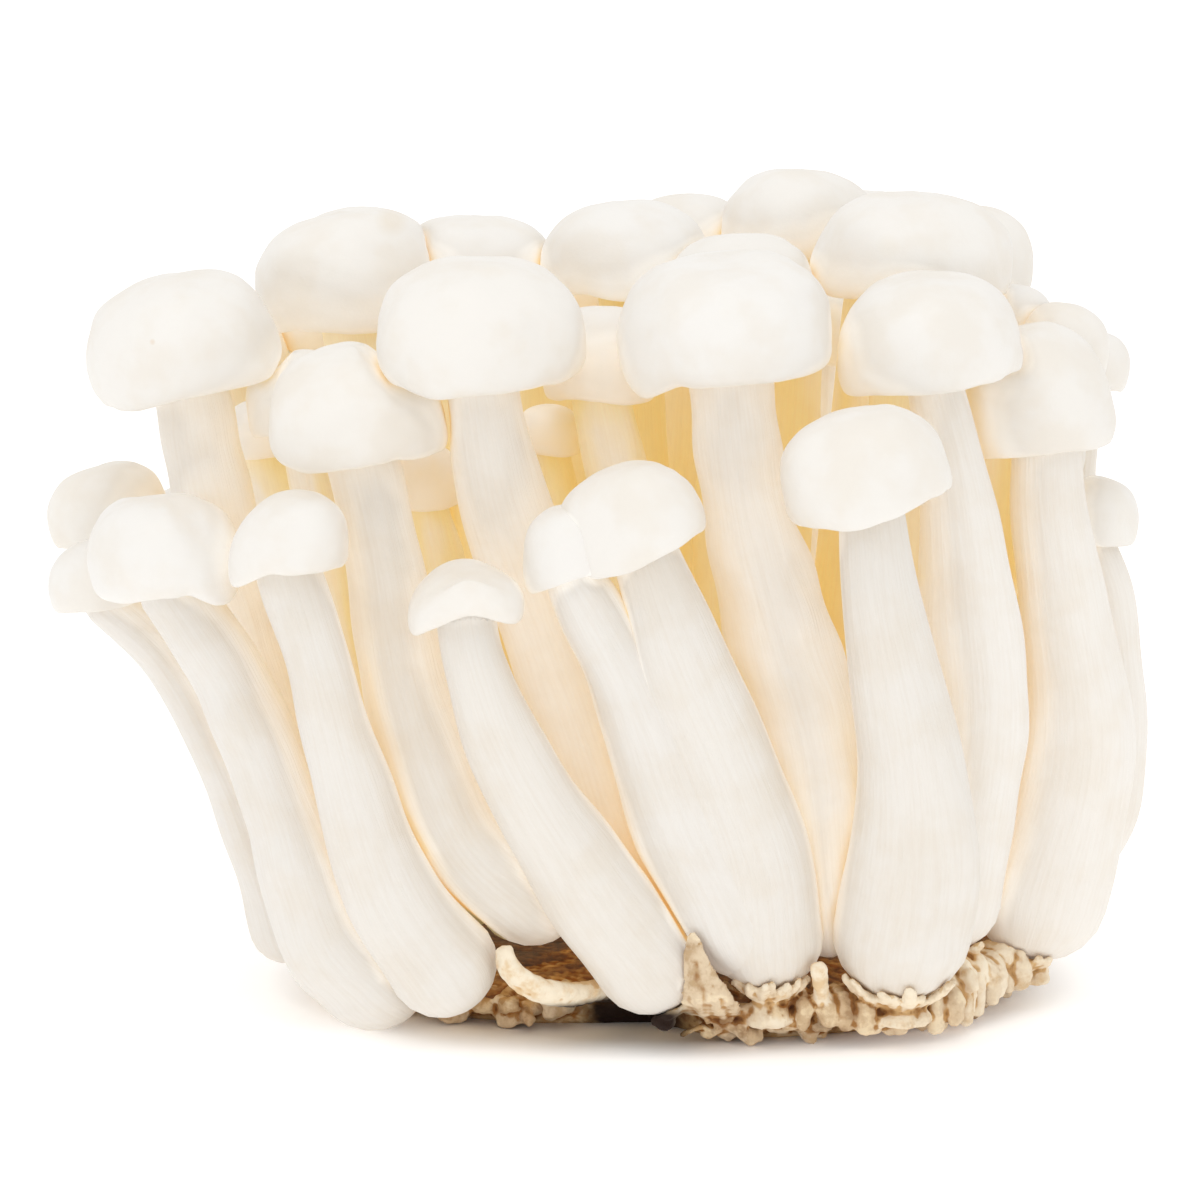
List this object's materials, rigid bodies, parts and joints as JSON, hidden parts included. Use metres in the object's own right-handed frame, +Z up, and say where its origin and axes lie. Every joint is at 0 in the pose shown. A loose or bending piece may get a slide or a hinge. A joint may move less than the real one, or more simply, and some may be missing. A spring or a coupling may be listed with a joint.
{
  "type": "white beech mushroom bunch",
  "caption": "Bunch of white beech mushrooms grown from one cut base, standing upright: round white caps with gills on curved pale stems, and tan curled growth at the foot.",
  "frame": {"origin": "middle of the bunch's bounding box, at the level of its cut underside", "axes": "+Z up from the cut underside through the caps, +X along the bunch's longest side, -Y towards the front seen in the picture"},
  "size_m": [0.1177, 0.0927, 0.087],
  "materials": {
    "mushroom": "satin",
    "growth": "matte"
  },
  "bodies": {
    "root": {"base": "growth", "mushroom_01": "mushroom", "mushroom_02": "mushroom", "mushroom_03": "mushroom", "mushroom_04": "mushroom", "mushroom_05": "mushroom", "mushroom_06": "mushroom", "mushroom_07": "mushroom", "mushroom_08": "mushroom", "mushroom_09": "mushroom", "mushroom_10": "mushroom", "mushroom_11": "mushroom", "mushroom_12": "mushroom", "mushroom_13": "mushroom", "mushroom_14": "mushroom", "mushroom_15": "mushroom", "mushroom_16": "mushroom", "mushroom_17": "mushroom", "mushroom_18": "mushroom", "mushroom_19": "mushroom", "mushroom_20": "mushroom", "mushroom_21": "mushroom", "mushroom_22": "mushroom", "mushroom_23": "mushroom", "mushroom_24": "mushroom", "mushroom_25": "mushroom", "mushroom_26": "mushroom", "mushroom_27": "mushroom", "mushroom_28": "mushroom", "mushroom_29": "mushroom", "mushroom_30": "mushroom", "mushroom_31": "mushroom", "mushroom_32": "mushroom", "mushroom_33": "mushroom", "mushroom_34": "mushroom", "mushroom_35": "mushroom", "mushroom_36": "mushroom", "mushroom_37": "mushroom", "mushroom_38": "mushroom", "mushroom_39": "mushroom", "mushroom_40": "mushroom", "mushroom_41": "mushroom", "mushroom_42": "mushroom", "mushroom_43": "mushroom", "mushroom_44": "mushroom"}
  },
  "joints": []
}
